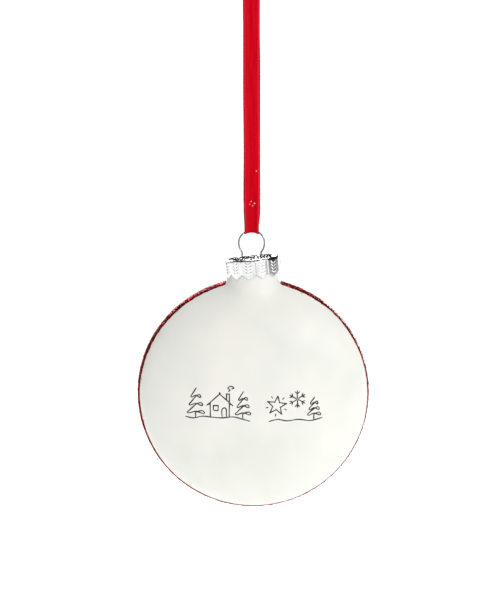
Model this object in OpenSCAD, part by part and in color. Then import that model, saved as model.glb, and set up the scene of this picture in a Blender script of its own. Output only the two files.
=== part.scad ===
// Souvenir Christmas ornament: a flat, hollow glass disc with a silvered crown cap,
// a sprung wire hanger and a loop of velvet ribbon.
// The origin is the inside of the ribbon loop's top, where a branch or a hook carries it.
// +Z is up, and the printed front of the disc faces -Y.

/* [Glass bauble] */
// Diameter of the disc
disc_d = 100; // [80:1:120]
// Thickness of the disc at its middle
disc_thick = 41; // [34:0.5:50]
// Wall of the blown glass
glass_wall = 1; // [0.8:0.1:1.5]
// Outer diameter of the neck
neck_d = 21.6; // [20:0.1:22]
// Height of the disc's centre, below the top of the ribbon loop
disc_z = -189; // [-194:0.5:-188]
// Height of the neck's open mouth
mouth_z = -132.1; // [-133:0.1:-132]
// How far the bauble's axis is to the right of the hanger's
bauble_x = 0.7; // [0:0.1:0.8]

/* [Coats] */
// Thickness of the pearl lacquer on the front and the neck
pearl_t = 0.15; // [0.1:0.05:0.2]
// Thickness of the glitter bedded in glue on the back
glitter_t = 0.4; // [0.3:0.05:0.6]
// How far in front of the disc's middle the glitter's edge lies
glitter_edge = 4; // [1:0.5:5]

/* [Crown cap] */
// Outer diameter of the cap
cap_d = 23.7; // [23.6:0.1:24.5]
// Height from the points of the skirt to the rim
cap_h = 8.2; // [7:0.1:8.4]
// Gauge of the stamped sheet
cap_wall = 0.4; // [0.3:0.05:0.4]
// Height of the cap's rim, at its centre
cap_z = -129.6; // [-129.8:0.1:-129]
// How crookedly the cap sits, in degrees
cap_tilt = 5; // [0:0.5:5]
// Number of pointed panels round the skirt
panels = 12; // [8:1:16]
// Depth of the notches between the points
notch = 2.1; // [1:0.1:2.5]
// How deep the top plate lies below the rim
plate_drop = 0.5; // [0.5:0.1:1.2]

/* [Hanger wire] */
// Gauge of the wire
wire_d = 0.7; // [0.6:0.1:1]
// Outer diameter of the ring
ring_d = 11.8; // [10:0.1:13]
// Distance from the middle of the wire at the ring's top to the top of the ribbon loop
hang_h = 117.9; // [100:0.1:120]
// Distance between the wire's two legs where they pass the cap
leg_gap = 8.2; // [7:0.1:8.6]
// Distance between the legs at their feet, inside the bauble
foot_gap = 16; // [12:0.5:16]

/* [Ribbon] */
// Width of the ribbon
ribbon_w = 7; // [6:0.5:7]
// Thickness of the ribbon, pile included
ribbon_t = 0.4; // [0.4:0.1:0.6]

/* [Hidden] */
$fn = 96;
eps = 0.01;

// Disc: its section is two wide arcs for the faces, and a tight one round the edge
disc_r = disc_d / 2;
disc_half = disc_thick / 2;
edge_r = 11.5;
edge_x = disc_r - edge_r;
face_r = (edge_x * edge_x + disc_half * disc_half - edge_r * edge_r) / (2 * (disc_half - edge_r));
face_y = face_r - disc_half;
face_turn = atan2(edge_x, face_y);   // angle from the disc's axis to where the arcs meet
neck_r = neck_d / 2;
neck_root = 34;           // how far above the disc's centre the neck's solid starts

// Cap: the sizes of its stamped section
cap_r = cap_d / 2;
rim_r = 0.6;              // rounding of the rim
plate_r = cap_r - 1.9;    // flat of the top plate
bead_d = 0.5;             // raised ridge between two panels
ridge_turn = 4.4;         // turn of the first ridge from the front, in degrees
hole_d = wire_d + 0.16;   // running hole for a leg

// Wire: the ring, the elbows under it, the straight legs and the sprung feet
wire_r = wire_d / 2;
bead = 0.02;
ring_r = (ring_d - wire_d) / 2;
ring_z = -hang_h - ring_r;
leg_x = leg_gap / 2;
foot_x = foot_gap / 2;
elbow_r = 1;              // bend from the ring into a leg
elbow_z = ring_z - sqrt(pow(ring_r + elbow_r, 2) - pow(leg_x + elbow_r, 2));
ring_end = -acos((leg_x + elbow_r) / (ring_r + elbow_r));   // angle where the ring ends
knee_r = 2;               // bend where a leg starts to spread
knee_z = -134.5;
spread = 20;              // angle at which a leg spreads
heel_r = 1;               // bend that turns a foot back in
heel_turn = 75;
toe_l = 2;
knee_end = [leg_x + knee_r * (1 - cos(spread)), knee_z - knee_r * sin(spread)];
shin_l = (foot_x - wire_r - heel_r * (1 - cos(spread)) - knee_end[0]) / sin(spread);
shin_end = knee_end + shin_l * [sin(spread), -cos(spread)];
heel_mid = shin_end - heel_r * [cos(spread), sin(spread)];
toe_from = heel_mid + heel_r * [cos(spread - heel_turn), sin(spread - heel_turn)];

// Ribbon: half of the route in the YZ plane, from the fold under the wire to the loop's top.
// The other half is its mirror image.
route = [[0, -118.6], [0.27, -118.55], [0.5, -118.4], [0.65, -118.17], [0.7, -117.9],
         [0.7, -117.5], [0.7, -117], [0.75, -116], [0.8, -114.5], [0.9, -113],
         [1.2, -109], [1.4, -104], [1.7, -98], [2.1, -90], [2.6, -80], [3.1, -70],
         [3.6, -60], [4.1, -50], [4.6, -40], [5, -32], [5.4, -24], [5.8, -17], [6.1, -12],
         [6.2, -8], [6.1, -5], [5.6, -3], [4.6, -1.5], [3.1, -0.4], [1.6, 0.1], [0, 0.25]];
loop = concat(route, [for (i = [len(route) - 2 : -1 : 1]) [-route[i][0], route[i][1]]]);
saddle_from = -117.5;       // above this the ribbon starts to flatten
saddle_to = -109;         // and from here it is flat
across = 8;               // points across the ribbon

// Stitches: two rows across the lap on the ribbon's back strand
stitch_rows = [-105, -99];
stitches = 4;
stitch_l = 1.1;
thread_d = 0.3;

// Section of the disc, grown by g, with the disc's axis along Y
module disc_section(g) {
    intersection() {
        translate([0, -face_y]) circle(r = face_r + g);
        translate([0, face_y]) circle(r = face_r + g);
        translate([0, -disc_r]) square([edge_x + (edge_r + g) * sin(face_turn), 2 * disc_r]);
    }
    translate([edge_x, 0]) circle(r = edge_r + g);
}

// The whole disc, grown by g
module disc(g) {
    translate([bauble_x, 0, disc_z]) rotate([-90, 0, 0]) rotate_extrude() disc_section(g);
}

// The neck's solid from inside the disc to its top, with radius r
module neck(r, top) {
    translate([bauble_x, 0, disc_z + neck_root])
        cylinder(r = r, h = top - disc_z - neck_root);
}

// Everything in front of the depth y
module in_front_of(y) {
    translate([-disc_d, y - disc_d, disc_z - disc_d]) cube([2 * disc_d, disc_d, 3 * disc_d]);
}

module glass_bauble() {
    color("white") difference() {
        union() {
            disc(0);
            neck(neck_r, mouth_z);
        }
        disc(-glass_wall);
        neck(neck_r - glass_wall, mouth_z + 1);
    }
}

module pearl_coat() {
    color("ivory") {
        intersection() {
            difference() {
                disc(pearl_t);
                disc(0);
                neck(neck_r, mouth_z);
            }
            in_front_of(-glitter_edge);
        }
        difference() {
            neck(neck_r + pearl_t, cap_z - cap_h - 1.2);
            neck(neck_r, mouth_z);
            disc(glitter_t);
        }
    }
}

module glitter_coat() {
    gap = 2 * (neck_r + pearl_t);
    color("firebrick") difference() {
        disc(glitter_t);
        disc(0);
        in_front_of(-glitter_edge);
        translate([bauble_x - gap / 2, -gap / 2, disc_z + neck_root]) cube([gap, gap, disc_r]);
    }
}

// Section of the stamped cap: recessed plate, rounded rim and straight skirt
module cap_section() {
    difference() {
        union() {
            translate([0, -cap_h]) square([cap_r, cap_h - rim_r]);
            translate([0, -rim_r]) square([cap_r - rim_r, rim_r]);
            translate([cap_r - rim_r, -rim_r]) circle(r = rim_r, $fn = 48);
        }
        translate([-eps, -cap_h - eps])
            square([cap_r - cap_wall + eps, cap_h - plate_drop - cap_wall + eps]);
        translate([-eps, -plate_drop]) square([plate_r + eps, plate_drop + 1]);
    }
}

module crown_cap() {
    color("silver") difference() {
        translate([bauble_x / 2, 0, cap_z]) rotate([0, -cap_tilt, 0]) difference() {
            union() {
                rotate_extrude() cap_section();
                for (i = [0 : panels - 1]) rotate([0, 0, i * 360 / panels - 90 + ridge_turn])
                    translate([cap_r - bead_d / 4, 0, -cap_h + notch])
                        cylinder(d = bead_d, h = cap_h - notch - 2 * rim_r, $fn = 24);
            }
            for (i = [0 : panels - 1]) rotate([0, 0, i * 360 / panels - 90 + ridge_turn])
                notch_cut();
        }
        for (side = [-1, 1]) translate([side * leg_x, 0, cap_z - cap_h])
            cylinder(d = hole_d, h = cap_h + 5, $fn = 48);
    }
}

// The V cut out of the skirt between two points
module notch_cut() {
    half = cap_r * sin(180 / panels);
    translate([cap_r - 2, 0, -cap_h]) rotate([90, 0, 90])
        linear_extrude(4) polygon([[-half, -1], [-half, 0], [0, notch], [half, 0], [half, -1]]);
}

// A bend of the wire in the plane of the ring: its middle, radius, first angle and turn
module wire_arc(middle, r, from, turn) {
    translate([middle[0], 0, middle[1]]) rotate([90, 0, 0]) rotate([0, 0, from])
        rotate_extrude(angle = turn) translate([r, 0]) circle(r = wire_r, $fn = 24);
}

// A straight length of the wire, tilted outwards by lean degrees from straight down
module wire_rod(from, length, lean) {
    translate([from[0], 0, from[1]]) rotate([0, 180 - lean, 0])
        cylinder(r = wire_r, h = length, $fn = 24);
}

// One leg: the elbow under the ring, the straight stretch, the sprung shin and the toe.
// A bead a hair thicker than the wire covers each place where two stretches meet.
module leg() {
    wire_arc([leg_x + elbow_r, elbow_z], elbow_r, 180 + ring_end, -ring_end);
    wire_rod([leg_x, elbow_z], elbow_z - knee_z, 0);
    wire_arc([leg_x + knee_r, knee_z], knee_r, 180, spread);
    wire_rod(knee_end, shin_l, spread);
    wire_arc(heel_mid, heel_r, spread - heel_turn, heel_turn);
    wire_rod(toe_from, toe_l, spread - heel_turn);
    ring_foot = [0, ring_z] + ring_r * [cos(ring_end), sin(ring_end)];
    for (p = [ring_foot, [leg_x, elbow_z], [leg_x, knee_z], knee_end, shin_end, toe_from])
        translate([p[0], 0, p[1]]) sphere(r = wire_r + bead, $fn = 24);
}

module hanger_wire() {
    color("gainsboro") {
        wire_arc([0, ring_z], ring_r, ring_end, 180 - 2 * ring_end);
        leg();
        mirror([1, 0, 0]) leg();
    }
}

// How far the ribbon's edges bend away from the fold, to straddle the inside of the ring
bore_r = ring_r - wire_r;
function sag(x) = bore_r - sqrt(bore_r * bore_r - x * x);
function cupped(z) =
    let (t = (z - saddle_from) / (saddle_to - saddle_from))
        t < 0 ? 1 : t > 1 ? 0 : (1 + cos(180 * t)) / 2;

// Outward direction at point i of the closed route, from its two neighbours
function outward(i) =
    let (n = len(loop), d = loop[(i + 1) % n] - loop[(i + n - 1) % n], u = d / norm(d))
        [u[1], -u[0]];

// One ring of points round the ribbon at point i: the outer face, then the inner
function ribbon_ring(i) =
    [for (face = [1, -1]) for (k = [0 : across - 1])
        let (x = face * ribbon_w * (k / (across - 1) - 0.5),
             p = loop[i] + outward(i) * (face * ribbon_t / 2 + sag(x) * cupped(loop[i][1])))
        [x, p[0], p[1]]];

module ribbon_loop() {
    n = len(loop);
    m = 2 * across;
    color("crimson") polyhedron(
        points = [for (i = [0 : n - 1]) each ribbon_ring(i)],
        faces = [for (i = [0 : n - 1]) for (k = [0 : m - 1])
            let (a = i * m + k, b = i * m + (k + 1) % m,
                 c = ((i + 1) % n) * m + (k + 1) % m, d = ((i + 1) % n) * m + k)
            each [[a, b, c], [a, c, d]]]);
}

// Where the back strand's outer face lies at height z
function strand_y(z) =
    lookup(z, [for (p = route) if (p[1] > -117.9 && p[1] < -9) [p[1], p[0]]]) + ribbon_t / 2;

module ribbon_stitching() {
    pitch = (ribbon_w - 1) / stitches;
    color("darkred") for (z = stitch_rows) for (k = [0 : stitches - 1])
        translate([(k + 0.5 - stitches / 2) * pitch - stitch_l / 2,
                   strand_y(z) + thread_d / 2, z]) {
            rotate([0, 90, 0]) cylinder(d = thread_d, h = stitch_l, $fn = 16);
            for (x = [0, stitch_l]) translate([x, 0, 0]) sphere(d = thread_d, $fn = 16);
        }
}

glass_bauble();
pearl_coat();
glitter_coat();
crown_cap();
hanger_wire();
ribbon_loop();
ribbon_stitching();
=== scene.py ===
# %% [markdown]
# # A flat glass Christmas ornament, piece by piece
#
# The ornament is a hollow disc of blown glass, about 100 mm across and 41 mm thick. Its front is
# lacquered pearl white and its back is bedded in red glitter. A stamped, silvered cap sits on the neck,
# a sprung wire holds it there, and a velvet ribbon goes through the wire's ring.
#
# Sizes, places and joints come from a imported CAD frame. Everything made here lies around that frame,
# in metres, and rides on one of its bodies, so that the ornament swings and comes apart as it should.

# %% Load the frame
import math

import bpy
import numpy as np
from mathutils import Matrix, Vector, noise


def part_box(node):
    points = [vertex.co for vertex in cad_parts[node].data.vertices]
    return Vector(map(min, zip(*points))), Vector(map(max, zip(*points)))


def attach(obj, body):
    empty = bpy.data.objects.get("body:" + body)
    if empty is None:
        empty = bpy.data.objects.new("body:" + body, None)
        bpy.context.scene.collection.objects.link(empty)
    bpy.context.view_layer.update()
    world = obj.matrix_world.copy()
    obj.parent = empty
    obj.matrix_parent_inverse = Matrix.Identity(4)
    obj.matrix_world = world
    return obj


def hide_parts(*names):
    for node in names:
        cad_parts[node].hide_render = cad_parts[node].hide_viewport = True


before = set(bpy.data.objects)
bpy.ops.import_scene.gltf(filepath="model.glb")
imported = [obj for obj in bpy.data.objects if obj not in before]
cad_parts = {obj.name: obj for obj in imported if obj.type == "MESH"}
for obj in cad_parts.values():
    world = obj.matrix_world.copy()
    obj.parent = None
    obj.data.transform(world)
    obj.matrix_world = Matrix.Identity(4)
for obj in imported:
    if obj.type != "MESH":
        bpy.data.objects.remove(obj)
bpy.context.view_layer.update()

MM = 0.001

# %% [markdown]
# ## Where things are
#
# The disc's size and centre, the neck's mouth and the wire's thickness and height are read from the
# frame's boxes. The disc's centre is half a diameter above its lowest point, and the neck's open mouth
# is the top of the glass. All shape work below is done in millimetres, and a mesh is scaled to metres
# when it is made.

# %% Read the main sizes from the frame, in millimetres
glass_low, glass_high = (np.array(corner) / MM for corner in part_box("glass_bauble"))
wire_low, wire_high = (np.array(corner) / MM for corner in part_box("hanger_wire"))
disc_r = (glass_high[0] - glass_low[0]) / 2
disc_half = (glass_high[1] - glass_low[1]) / 2
disc_mid = np.array([(glass_low[0] + glass_high[0]) / 2, 0, glass_low[2] + disc_r])
mouth_z = glass_high[2]
# The CAD wire has beads at its bends that stand 0.02 mm proud of it.
wire_d = wire_high[1] - wire_low[1] - 0.04
print(f"disc radius {disc_r:.1f} mm, half thickness {disc_half:.1f} mm, centre {disc_mid.round(1)}")

# %% [markdown]
# ## The camera
#
# A product picture of an ornament is taken from a little above, with a long lens, so that the round
# disc keeps its shape. The camera stands 7.5 degrees above the horizon and looks at a point between
# the ring and the disc, which leaves room for the ribbon. It is made first, because the ribbon is
# judged by what the camera sees.

# %% Make the camera
view_height = 265.6
camera_up = math.radians(7.5)
looks_at = Vector((disc_mid - [1.4, 0, -38])) * MM
camera_data = bpy.data.cameras.new("camera")
camera_data.lens = 100
camera_data.sensor_width = 36
distance = view_height * MM * camera_data.lens / camera_data.sensor_width
camera = bpy.data.objects.new("camera", camera_data)
camera.location = looks_at + distance * Vector((0, -math.cos(camera_up), math.sin(camera_up)))
camera.rotation_euler = (looks_at - camera.location).to_track_quat("-Z", "Y").to_euler()
bpy.context.scene.collection.objects.link(camera)
bpy.context.scene.camera = camera
print(f"camera stands {distance:.2f} m away")

# %% [markdown]
# ## Helpers that every piece uses
#
# A colour is written the way a paint chart gives it, as an sRGB hex value, and turned to the linear
# numbers that a shader works in. A piece is made from plain lists of points in millimetres and of
# faces, and is smooth shaded. A material starts with one Principled shader, and `add` puts in one
# more node with its settings and its links.

# %% Colour, mesh and material helpers
def colour(hex_value):
    """An sRGB hex colour as linear RGBA."""
    parts = [int(hex_value[i:i + 2], 16) / 255 for i in (1, 3, 5)]
    return [c / 12.92 if c <= 0.04045 else ((c + 0.055) / 1.055) ** 2.4 for c in parts] + [1.0]


def make_piece(name, points, faces, material, body):
    """A smooth mesh object from points in millimetres, riding on a body of the frame."""
    mesh = bpy.data.meshes.new(name)
    mesh.from_pydata((np.asarray(points) * MM).tolist(), [], [list(map(int, f)) for f in faces])
    mesh.update()
    mesh.shade_smooth()
    piece = bpy.data.objects.new(name, mesh)
    bpy.context.scene.collection.objects.link(piece)
    mesh.materials.append(material)
    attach(piece, body)
    print(f"{name}: {len(mesh.vertices)} points, {len(mesh.polygons)} faces")
    return piece


def new_material(name, **settings):
    """A material whose Principled shader has these constant settings."""
    material = bpy.data.materials.new(name)
    material.use_nodes = True
    shader = material.node_tree.nodes["Principled BSDF"]
    for socket, value in settings.items():
        shader.inputs[socket.replace("_", " ")].default_value = value
    return material, shader


def add(material, kind, links=(), inputs=(), **settings):
    """One more node: its settings, its input values, and links as (output, input name)."""
    tree = material.node_tree
    node = tree.nodes.new(kind)
    for key, value in settings.items():
        setattr(node, key, value)
    for socket, value in dict(inputs).items():
        node.inputs[socket].default_value = value
    for output, socket in links:
        tree.links.new(output, node.inputs[socket])
    return node


def join(material, output, shader, socket):
    material.node_tree.links.new(output, shader.inputs[socket])


def set_ramp(node, stops):
    """Colour stops of a ramp as (position, hex colour)."""
    elements = node.color_ramp.elements
    while len(elements) < len(stops):
        elements.new(0.5)
    for element, (position, hex_value) in zip(elements, stops):
        element.position = position
        element.color = colour(hex_value)

# %% [markdown]
# ## Velvet for the ribbon
#
# The ribbon is a narrow polyester velvet: a woven ground with a short cut pile, and a tight woven
# selvedge at each edge. The pile traps light, so there is almost no gloss and the red stays deep,
# while fibres that lean away show a faint lighter sheen. Pile that has been brushed different ways
# gives long soft streaks along the ribbon. Where the pile meets the selvedge, each pick of the weave
# leaves one lighter dot, 0.62 mm from the next, and on one side the weave shows through the pile as
# a fine diamond pattern. The fibres are about 0.02 mm, far too fine to show, so the nap is drawn at
# 0.25 mm. The pattern is laid out on the strip's own measure, a UV map in millimetres across and
# along, so that it follows every bend.

# %% Make the velvet
velvet, velvet_shader = new_material(
    "cut_pile_velvet", Roughness=0.92, IOR=1.45, Specular_IOR_Level=0.06,
    Sheen_Weight=0.2, Sheen_Roughness=0.35, Sheen_Tint=colour("#F01828"))
measure = add(velvet, "ShaderNodeUVMap", uv_map="ribbon_mm")
streak_size = add(velvet, "ShaderNodeMapping", [(measure.outputs["UV"], "Vector")],
                  {"Scale": (0.75, 0.05, 1)})
streaks = add(velvet, "ShaderNodeTexNoise", [(streak_size.outputs["Vector"], "Vector")],
              {"Scale": 1.0, "Detail": 3.0, "Roughness": 0.55})
nap = add(velvet, "ShaderNodeTexNoise", [(measure.outputs["UV"], "Vector")],
          {"Scale": 4.0, "Detail": 2.0, "Roughness": 0.6})
mixed = add(velvet, "ShaderNodeMix", [(streaks.outputs["Fac"], "A"), (nap.outputs["Fac"], "B")],
            {"Factor": 0.3})
reds = add(velvet, "ShaderNodeValToRGB", [(mixed.outputs["Result"], "Fac")])
set_ramp(reds, [(0.34, "#A0000F"), (0.5, "#B90114"), (0.66, "#CC0319")])


def maths(kind, a, b=0.0):
    """One Math node in the velvet; a and b are outputs of other nodes, or numbers."""
    given = [(x, i) for i, x in enumerate((a, b)) if not isinstance(x, float)]
    numbers = {i: x for i, x in enumerate((a, b)) if isinstance(x, float)}
    return add(velvet, "ShaderNodeMath", given, numbers, operation=kind).outputs[0]


def between(value, low, high, top=1.0):
    """0 where value is at low, top where it is at high."""
    return add(velvet, "ShaderNodeMapRange", [(value, "Value")],
               {"From Min": low, "From Max": high, "To Max": top}).outputs["Result"]


def tinted(base, mask, hex_value):
    """The base colour, with another colour laid over it where the mask is 1."""
    mix = add(velvet, "ShaderNodeMix", [(mask, 0), (base, 6)], {7: colour(hex_value)}, data_type="RGBA")
    return mix.outputs[2]


apart = add(velvet, "ShaderNodeSeparateXYZ", [(measure.outputs["UV"], "Vector")])
side_mm, along_mm = apart.outputs["X"], apart.outputs["Y"]
off_middle = maths("ABSOLUTE", side_mm)
pick_wave = maths("SINE", maths("MULTIPLY", along_mm, 2 * math.pi / 0.62))
from_dot_line = maths("ABSOLUTE", maths("SUBTRACT", off_middle, 2.88))
dots = maths("MULTIPLY", between(from_dot_line, 0.3, 0.12), between(pick_wave, -0.3, 0.8, 0.75))
falling = maths("SINE", maths("MULTIPLY", maths("ADD", side_mm, along_mm), 2 * math.pi / 0.9))
rising = maths("SINE", maths("MULTIPLY", maths("SUBTRACT", side_mm, along_mm), 2 * math.pi / 0.9))
weave = maths("MULTIPLY", between(side_mm, -0.7, -1.3, 0.5), between(maths("MULTIPLY", falling, rising),
                                                                     -0.2, 1.0))
reds_now = tinted(reds.outputs["Color"], dots, "#E8404A")
reds_now = tinted(reds_now, weave, "#D81E30")
# The outermost strip of each edge is coloured nearly black-red: painted shade where the ribbon's sides
# turn away from the light.
reds_now = tinted(reds_now, between(off_middle, 3.12, 3.3), "#66000A")
join(velvet, reds_now, velvet_shader, "Base Color")
raised = maths("ADD", nap.outputs["Fac"], maths("ADD", dots, weave))
fuzz = add(velvet, "ShaderNodeBump", [(raised, "Height")],
           {"Strength": 0.6, "Distance": 0.12 * MM})
join(velvet, fuzz.outputs["Normal"], velvet_shader, "Normal")

# %% Make the sewing thread
thread, thread_shader = new_material(
    "spun_polyester_thread", Roughness=0.7, IOR=1.5, Specular_IOR_Level=0.2,
    Sheen_Weight=0.2, Sheen_Tint=colour("#C01020"))
thread_where = add(thread, "ShaderNodeTexCoord")
ply_twist = add(thread, "ShaderNodeTexWave", [(thread_where.outputs["Object"], "Vector")],
                {"Scale": 900.0, "Distortion": 1.0}, bands_direction="DIAGONAL")
thread_reds = add(thread, "ShaderNodeValToRGB", [(ply_twist.outputs["Fac"], "Fac")])
set_ramp(thread_reds, [(0.2, "#6E0610"), (0.8, "#A80A1A")])
join(thread, thread_reds.outputs["Color"], thread_shader, "Base Color")
print("materials:", velvet.name, thread.name)

# %% [markdown]
# ## The ribbon
#
# A ribbon is a flat strip of fixed length, so it is made as one: a line down the middle of the strip,
# and a cross-section set across it at every step. The line starts on the back strand, goes down and
# under the ring's wire, up the front, over the top and down the back again, and ends 8 mm past where
# it began. That overlap is the sewn lap that makes it a loop. A curve with a bevel would be quicker,
# but it can't show the raised pile between two thin selvedges, or straddle the round wire.

# %% The ribbon's route: half of it in the YZ plane, the rest is its mirror image
ribbon_w = 7.0
hinge_z = wire_high[2] - wire_d / 2
half_route = [
    (0, -118.6), (0.27, -118.55), (0.5, -118.4), (0.65, -118.17), (0.7, -117.9), (0.7, -117.5),
    (0.7, -117), (0.75, -116), (0.8, -114.5), (0.9, -113), (1.2, -109), (1.4, -104), (1.7, -98),
    (2.1, -90), (2.6, -80), (3.1, -70), (3.6, -60), (4.1, -50), (4.6, -40), (5, -32), (5.4, -24),
    (5.8, -17), (6.1, -12), (6.2, -8), (6.1, -5), (5.6, -3), (4.6, -1.5), (3.1, -0.4), (1.6, 0.1),
    (0, 0.25)]
back_strand = [i for i, (y, z) in enumerate(half_route) if 0 < i < len(half_route) - 1]
loop = np.array(half_route + [(-half_route[i][0], half_route[i][1]) for i in reversed(back_strand)])


def smooth_closed(points, step):
    """A closed Catmull-Rom curve through the points, at even steps of length."""
    n, fine = len(points), []
    for i in range(n):
        a, b, c, d = (points[(i + k) % n] for k in (-1, 0, 1, 2))
        for t in np.linspace(0, 1, 24, endpoint=False):
            fine.append(b + 0.5 * t * (c - a + t * (2 * a - 5 * b + 4 * c - d
                                                    + t * (3 * (b - c) + d - a))))
    fine = np.array(fine + [fine[0]])
    along = np.concatenate([[0], np.cumsum(np.linalg.norm(np.diff(fine, axis=0), axis=1))])
    at = np.arange(0, along[-1], step)
    return np.stack([np.interp(at, along, fine[:, k]) for k in (0, 1)], axis=1), along[-1]


row_step = 0.22
ring_of_points, loop_length = smooth_closed(loop, row_step)
lap_length = 8.0
lap_low = -106.0
# The strip starts on the back strand at the lap's upper end and runs down towards the ring first.
rows = len(ring_of_points)
start = max((i for i in range(rows) if ring_of_points[i][0] > 0
             and ring_of_points[i][1] < lap_low + lap_length), key=lambda i: ring_of_points[i][1])
strip_rows = rows + int(lap_length / row_step)
ribbon_line = np.array([ring_of_points[(start - i) % rows] for i in range(strip_rows)])
ribbon_length = loop_length + lap_length
print(f"ribbon: loop {loop_length:.1f} mm, cut length {ribbon_length:.1f} mm, {strip_rows} rows")

# %% [markdown]
# The strip isn't a perfect band. Its edges drop where they straddle the curved wire, the pile rounds
# off to a thin selvedge, the selvedge has a fine scallop at each pick of the weave, and the strands
# wander a fraction of a millimetre. All of that is geometry, because an outline shows it.

# %% Build the ribbon as a strip with a velvet cross-section
ring_r = 5.55
across = np.array([-0.5, -0.492, -0.476, -0.462, -0.455, -0.44, -0.4, -0.3, -0.15, 0,
                   0.15, 0.3, 0.4, 0.44, 0.455, 0.462, 0.476, 0.492, 0.5])
edge_part = np.clip((0.5 - np.abs(across)) / 0.045, 0, 1)
pile_part = np.clip((0.462 - np.abs(across)) / 0.05, 0, 1) ** 0.5
ribbon_rng = np.random.default_rng(7)


def slow_wave(length, span, size):
    """A gentle random line: size is its largest swing, span the distance between its bends."""
    knots = ribbon_rng.uniform(-1, 1, int(length / span) + 3)
    x = np.linspace(0, len(knots) - 1.001, strip_rows)
    i, t = x.astype(int), x % 1
    t = t * t * (3 - 2 * t)
    return size * (knots[i] * (1 - t) + knots[i + 1] * t)


side_drift = slow_wave(ribbon_length, 35, 0.22)
lean = slow_wave(ribbon_length, 28, 0.05)
edge_wave = slow_wave(ribbon_length, 9, 0.10)
points, strip_faces = [], []
for i, (y, z) in enumerate(ribbon_line):
    ahead, behind = ribbon_line[min(i + 1, strip_rows - 1)], ribbon_line[max(i - 1, 0)]
    direction = (ahead - behind) / np.linalg.norm(ahead - behind)
    outward = np.array([-direction[1], direction[0]])
    if y * outward[0] < 0 and -117.5 < z < -1:
        outward = -outward
    fold = 1 if z < -117.5 else 0 if z > -109 else (1 + math.cos(math.pi * (z + 117.5) / 8.5)) / 2
    narrow = 1 - 0.12 * fold
    past_lap = i * row_step - loop_length
    lift = 0.55 * np.clip(past_lap / 2 + 1, 0, 1)
    x = ribbon_w * narrow * across
    scallop = 0.05 * math.sin(2 * math.pi * i * row_step / 0.62) * (1 - edge_part)
    x = x + np.sign(x) * scallop + side_drift[i] * (1 - fold)
    bend = (ring_r - np.sqrt(ring_r ** 2 - np.minimum(np.abs(x), 3.5) ** 2)) * fold
    bend = bend + lean[i] * x * (1 - fold) + edge_wave[i] * (2 * across) ** 2 * (1 - fold)
    outer = bend + lift + 0.07 + 0.06 * edge_part + 0.17 * pile_part
    inner = bend + lift - 0.07 - 0.05 * edge_part
    for offset, xs in ((outer, x), (inner[::-1], x[::-1])):
        for o, px in zip(offset, xs):
            points.append((px, y + outward[0] * o, z + outward[1] * o))
ring_size = 2 * len(across)
for i in range(strip_rows - 1):
    for k in range(ring_size):
        a, b = i * ring_size + k, i * ring_size + (k + 1) % ring_size
        strip_faces.append((a, b, b + ring_size, a + ring_size))
strip_faces.append(list(range(ring_size))[::-1])
strip_faces.append([(strip_rows - 1) * ring_size + k for k in range(ring_size)])
ribbon = make_piece("velvet_ribbon", points, strip_faces, velvet, "ribbon")
strip_uv = ribbon.data.uv_layers.new(name="ribbon_mm")
for corner in ribbon.data.loops:
    row, place = divmod(corner.vertex_index, ring_size)
    face_across = across[place] if place < len(across) else across[ring_size - 1 - place]
    strip_uv.data[corner.index].uv = (ribbon_w * face_across, row * row_step)
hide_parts("ribbon_loop")

# %% [markdown]
# ## One formula for the bauble's surface
#
# The glass is blown in a mould: a flattened disc whose neck grows out of its upper edge through a
# small soft fillet. A sphere scaled flat and joined to a cylinder would leave a hard corner there, and
# a remesh would blur it. Instead the surface is written as a formula, an ellipsoid and a cylinder
# whose distances are blended, and horizontal slices of it are solved for. Each slice becomes one row
# of points, so the mesh is a clean grid, and every layer is the same grid a fraction further out.

# %% Slice the bauble's surface into rows of points
neck_r = 10.8
fillet = 5.0
half_size = np.array([disc_r, disc_half, disc_r])


def soft_min(a, b, width):
    h = np.maximum(width - np.abs(a - b), 0) / width
    return np.minimum(a, b) - h ** 3 * width / 6


def distance(p):
    """About how far points are outside the bauble, in millimetres, and negative inside it."""
    q = p - disc_mid
    once, twice = (np.linalg.norm(q / half_size ** k, axis=-1) for k in (1, 2))
    disc = once * (once - 1) / np.maximum(twice, 1e-6)
    neck = np.maximum(np.hypot(q[..., 0], q[..., 1]) - neck_r, 20 - q[..., 2])
    return soft_min(disc, neck, fillet)


def gradient(field, p, h=0.01):
    return np.stack([(field(p + s) - field(p - s)) / (2 * h) for s in np.eye(3) * h], axis=-1)


def normals(p):
    slope = gradient(distance, p)
    return slope / np.linalg.norm(slope, axis=-1, keepdims=True)


def slices(heights, columns, grow=0.0):
    """Points where the surface, grown by some millimetres, meets each height above the disc's centre."""
    turn = np.linspace(0, 2 * math.pi, columns, endpoint=False)
    neck_part = np.clip((heights - 40) / 12, 0, 1)
    flat = disc_half / disc_r
    squash = (flat + (1 - flat) * neck_part ** 2 * (3 - 2 * neck_part))[:, None]
    way = np.stack([np.cos(turn) + 0 * squash, squash * np.sin(turn), 0 * squash * turn], axis=-1)
    way /= np.linalg.norm(way, axis=-1, keepdims=True)
    start = np.stack([0 * heights, 0 * heights, heights], axis=-1)[:, None] + disc_mid
    near, far = np.zeros(way.shape[:2]), np.full(way.shape[:2], 70.0)
    for _ in range(36):
        r = (near + far) / 2
        inside = distance(start + way * r[..., None]) < grow
        near, far = np.where(inside, r, near), np.where(inside, far, r)
    return start + way * near[..., None]


def even_heights(top, spacing):
    """Slice heights that lie evenly along the side of the bauble, from top down to its lowest point."""
    fine = np.concatenate([np.linspace(top, 50.2, 300),
                           disc_r * np.cos(np.linspace(0.01, math.pi - 0.012, 3000))])
    side = slices(fine, 1)[:, 0, 0]
    along = np.concatenate([[0], np.cumsum(np.hypot(np.diff(side), np.diff(fine)))])
    return np.interp(np.linspace(0, along[-1], int(along[-1] / spacing)), along, fine)


mouth_up = mouth_z - disc_mid[2]
print(f"mouth {mouth_up:.1f} mm above the centre;", len(even_heights(mouth_up, 0.8)), "slices")

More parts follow.
